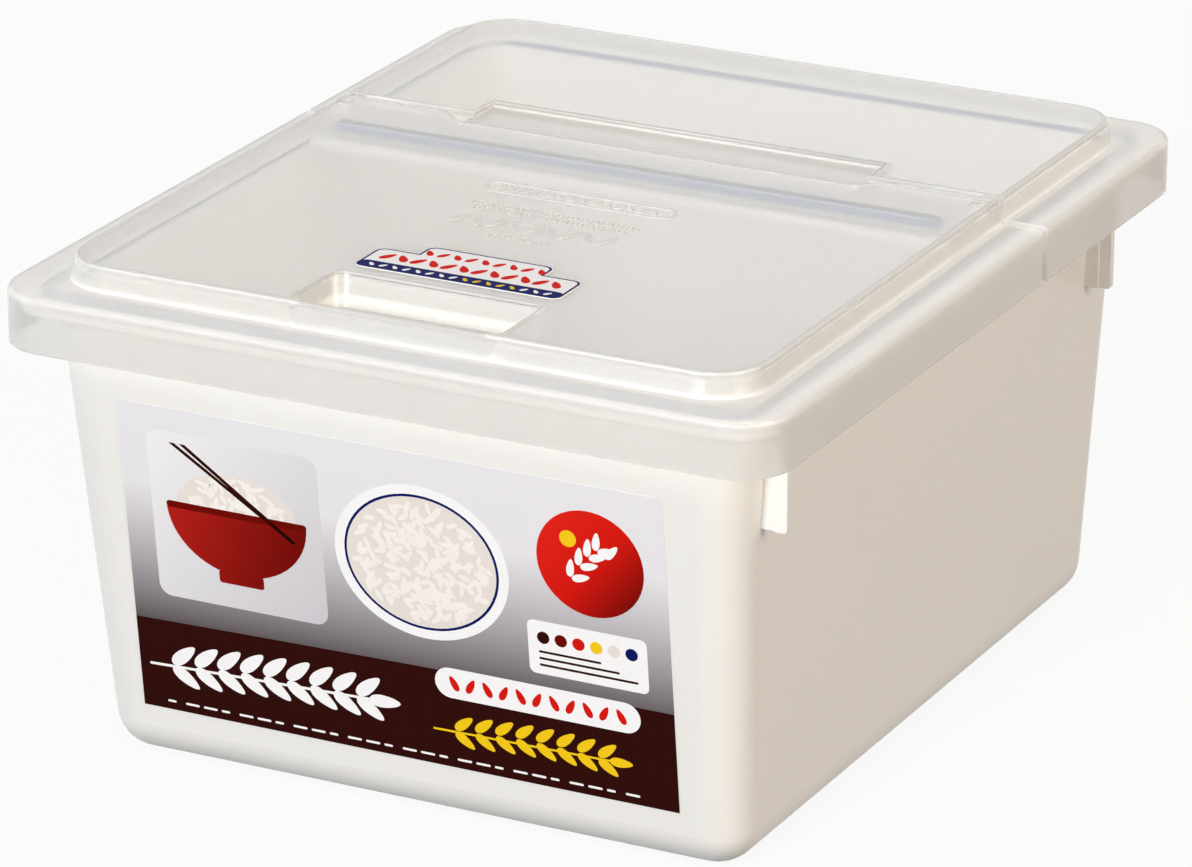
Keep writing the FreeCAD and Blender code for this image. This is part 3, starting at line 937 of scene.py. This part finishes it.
class RICEBIN_OT_lid_sticker(bpy.types.Operator):
    """Prints the lid sticker: navy edge and foot, red, white and yellow grains"""
    bl_idname = "ricebin.lid_sticker"
    bl_label = "Lid sticker"

    def execute(self, context):
        prints = context.scene.ricebin_prints
        inks = ink_set(prints)
        dress("lid_sticker", inks["white"])
        low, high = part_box("lid_sticker")
        left, right = low.x * 1000.0, high.x * 1000.0
        front, rear = low.y * 1000.0, high.y * 1000.0
        sheet = Print("lid_sticker_print", prints.ink_step)
        for inset, radius, ink, layer in ((0.5, 3.6, "navy", 1), (1.4, 2.9, "white", 2)):
            sheet.plate(sticker_outline(left, right, front, rear, inset, radius), inks[ink], layer)
        foot = rounded_bar(left + 0.5, front + 0.5, right - left - 1.0, 6.6, 3.2)
        sheet.plate(foot, inks["navy"], 3)
        red, white, yellow = inks["red"], inks["white"], inks["yellow"]
        foot_inks = [white] * 8 + [yellow] * 5 + [white] * 3
        # place in the sticker, then pitch, length, width, turns and layer
        for row_inks, u, v, *rest in (
                ([red] * 9, 19.0, 22.8, 5.5, 5.6, 2.5, (122.0, 58.0), 3),
                ([red] * 12, 7.5, 13.2, 6.0, 7.2, 3.1, (58.0, 122.0), 3),
                (foot_inks, 6.0, 3.8, 4.6, 3.4, 1.6, (130.0, 50.0), 4)):
            grain_row(sheet, row_inks, left + u, front + v, *rest)
        sheet.finish(top_plane("lid_sticker"), "front_cover")
        return {"FINISHED"}


class RICEBIN_OT_lid_edges(bpy.types.Operator):
    """Lays pale beads along both lids' edges: painted highlights standing for the lit rounded edges
    """
    bl_idname = "ricebin.lid_edges"
    bl_label = "Lid edges"

    def execute(self, context):
        material = thick_polypropylene("edge", tuple(context.scene.ricebin_plastics.lid_edge_highlight))
        low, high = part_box("front_lid")
        half, front, top = high.x * 1000.0, low.y * 1000.0, high.z * 1000.0
        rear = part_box("rear_lid")[1].y * 1000.0
        edge, proud = 1.0, 0.04  # radius of the raised part's edge, and how far it stands out
        inset, corner = 17.85, 19.2  # from the lid's side in to the raised part; its corners
        end = half - inset - 2.0  # where the beads along the seam stop
        seam_front, seam_rear = 46.6, 52.0
        seam_height = top - 0.7
        for side, seam, far in (("front", seam_front, front), ("rear", seam_rear, rear)):
            way = 1.0 if far > seam else -1.0
            path = horseshoe(half - inset - edge, seam, far - way * (inset + edge), corner - edge)
            bead(side + "_lid_top_edge", path, top - edge + proud, edge, material,
                 side + "_cover")
        # the grip recess: its half width, the slope beside it, its front and rear edges
        grip_half, flare, grip_front, grip_rear = 80.5, 12.0, 38.6, 66.9
        steps, overlap = 12, 1.2
        wave = [(-end, seam_front)]
        for step in range(steps + 1):
            share = step / steps
            ease = 0.5 - 0.5 * math.cos(math.pi * share)
            wave.append((-grip_half - flare + flare * overlap * share,
                         seam_front + (grip_front - seam_front) * ease))
        front_edge = wave + [(-x, y) for x, y in reversed(wave)]
        bead("front_lid_seam_edge", front_edge, seam_height, 0.75, material, "front_cover")
        step_out = grip_half + 1.0
        rear_edge = [(-end, seam_rear), (-step_out, seam_rear), (-grip_half, grip_rear),
                     (grip_half, grip_rear), (step_out, seam_rear), (end, seam_rear)]
        bead("rear_lid_seam_edge", rear_edge, seam_height, 0.85, material, "rear_cover")
        well_half, well_rear, well_corner = 41.0, -127.0, 5.0
        well = horseshoe(well_half, front + inset + 2.0, well_rear, well_corner)
        bead("finger_well_edge", well, top - 0.55, 0.6, material, "front_cover")
        return {"FINISHED"}


class RICEBIN_OT_lid_relief(bpy.types.Operator):
    """Raises an oval and rows of grain shapes on the front lid"""
    bl_idname = "ricebin.lid_relief"
    bl_label = "Lid relief"

    def execute(self, context):
        material = thick_polypropylene("relief", tuple(context.scene.ricebin_plastics.lid_relief))
        lip, shift = mm(0.35), 0.5  # height in metres, and place across the lid in millimetres
        # count, run, bar width and length, place along the lid, slant of neighbouring bars
        rows = ((14, 62.0, 1.5, 5.0, -22.0, 28.0), (34, 66.0, 0.9, 2.6, -41.0, 0.0),
                (30, 60.0, 0.9, 2.6, -46.0, 0.0), (9, 58.0, 3.0, 11.0, -58.0, 24.0),
                (12, 22.0, 0.9, 2.6, -70.0, 0.0))
        made = bake_rows(raised_row(material), material, "front_lid_relief", [
            ((mm(shift), mm(y), lip / 2.0), {
                "Count": count, "Run": mm(run), "Bar Width": mm(bar), "Bar Length": mm(length),
                "Height": lip, "Slant": math.radians(slant)})
            for count, run, bar, length, y, slant in rows])
        outer = rounded_bar(-38.0, -27.5, 77.0, 11.0, 5.5)
        inner = rounded_bar(-37.0, -26.5, 75.0, 9.0, 4.5)
        rings = []
        for height in (0.0, lip):
            rings.append([[made.verts.new((mm(u), mm(v), height)) for u, v in outline]
                          for outline in (outer, inner)])
        (low_out, low_in), (high_out, high_in) = rings
        count = len(outer)
        for index in range(count):
            after = (index + 1) % count
            for first, second, start, end in (
                    (low_out, high_out, index, after), (low_in, high_in, after, index),
                    (high_out, high_in, index, after), (low_out, low_in, after, index)):
                made.faces.new((first[start], first[end], second[end], second[start]))
        settle("front_lid_relief", mesh_of(made, "front_lid_relief", [material]),
               top_plane("front_lid"), "front_cover")
        return {"FINISHED"}


class RICEBIN_OT_stage(bpy.types.Operator):
    """Makes the floor, the lamps, the world and the camera"""
    bl_idname = "ricebin.stage"
    bl_label = "Stage"

    def execute(self, context):
        scene = context.scene
        stage = scene.ricebin_stage
        scene.view_settings.view_transform = "Standard"
        data = bpy.data.meshes.new("studio_floor")
        half = 6.0
        data.from_pydata([(-half, -half, 0), (half, -half, 0), (half, half, 0), (-half, half, 0)],
                         [], [(0, 1, 2, 3)])
        floor = add_object("studio_floor", data)
        data.materials.append(studio_floor())
        white_world(stage.ambient)
        area_lamp("key_lamp", (-0.4, -4.2, 1.6), 1.8, stage.key_power, "#ffffff")
        area_lamp("side_lamp", (2.8, -0.6, 1.2), 1.6, stage.side_power, "#ffead2")
        area_lamp("left_lamp", (-3.4, 0.6, 0.9), 1.8, stage.back_power, "#ffffff", False)
        area_lamp("back_lamp", (0.3, 3.7, 0.9), 1.8, stage.back_power, "#ffffff", False)
        camera_data = bpy.data.cameras.new("camera")
        camera_data.sensor_width = 36.0
        camera_data.lens = stage.lens
        camera_data.shift_x, camera_data.shift_y = 0.00117, 0.00069
        camera_data.clip_end = 50.0
        camera = add_object("camera", camera_data)
        camera.matrix_world = look_from(azimuth=26.747, elevation=20.635, distance=2.5659,
                                        target=(-0.00321, -0.00205, 0.09322), roll=0.215)
        scene.camera = camera
        return {"FINISHED"}


SETTINGS = (("ricebin_plastics", RicebinPlastics), ("ricebin_prints", RicebinPrints),
            ("ricebin_stage", RicebinStage))
OPERATORS = (RICEBIN_OT_stage, RICEBIN_OT_container, RICEBIN_OT_lids, RICEBIN_OT_packings,
             RICEBIN_OT_measuring_cup, RICEBIN_OT_front_label, RICEBIN_OT_lid_sticker,
             RICEBIN_OT_lid_edges, RICEBIN_OT_lid_relief)


class RICEBIN_PT_panel(bpy.types.Panel):
    """Lists the bin's pieces and their settings"""
    bl_label = "Rice bin"
    bl_idname = "RICEBIN_PT_panel"
    bl_space_type = "VIEW_3D"
    bl_region_type = "UI"
    bl_category = "Rice bin"

    def draw(self, context):
        for name, group in SETTINGS:
            held = getattr(context.scene, name)
            for field in group.__annotations__:
                self.layout.prop(held, field)
        for operator in OPERATORS:
            self.layout.operator(operator.bl_idname)


def register():
    for name, group in SETTINGS:
        bpy.utils.register_class(group)
        setattr(bpy.types.Scene, name, bpy.props.PointerProperty(type=group))
    for made in OPERATORS + (RICEBIN_PT_panel,):
        bpy.utils.register_class(made)


def unregister():
    for made in reversed(OPERATORS + (RICEBIN_PT_panel,)):
        bpy.utils.unregister_class(made)
    for name, group in reversed(SETTINGS):
        delattr(bpy.types.Scene, name)
        bpy.utils.unregister_class(group)


def main():
    register()
    for operator in OPERATORS:
        action = operator.bl_idname.split(".")[1]
        getattr(bpy.ops.ricebin, action)()
    bpy.context.view_layer.update()


if __name__ == "__main__":
    main()
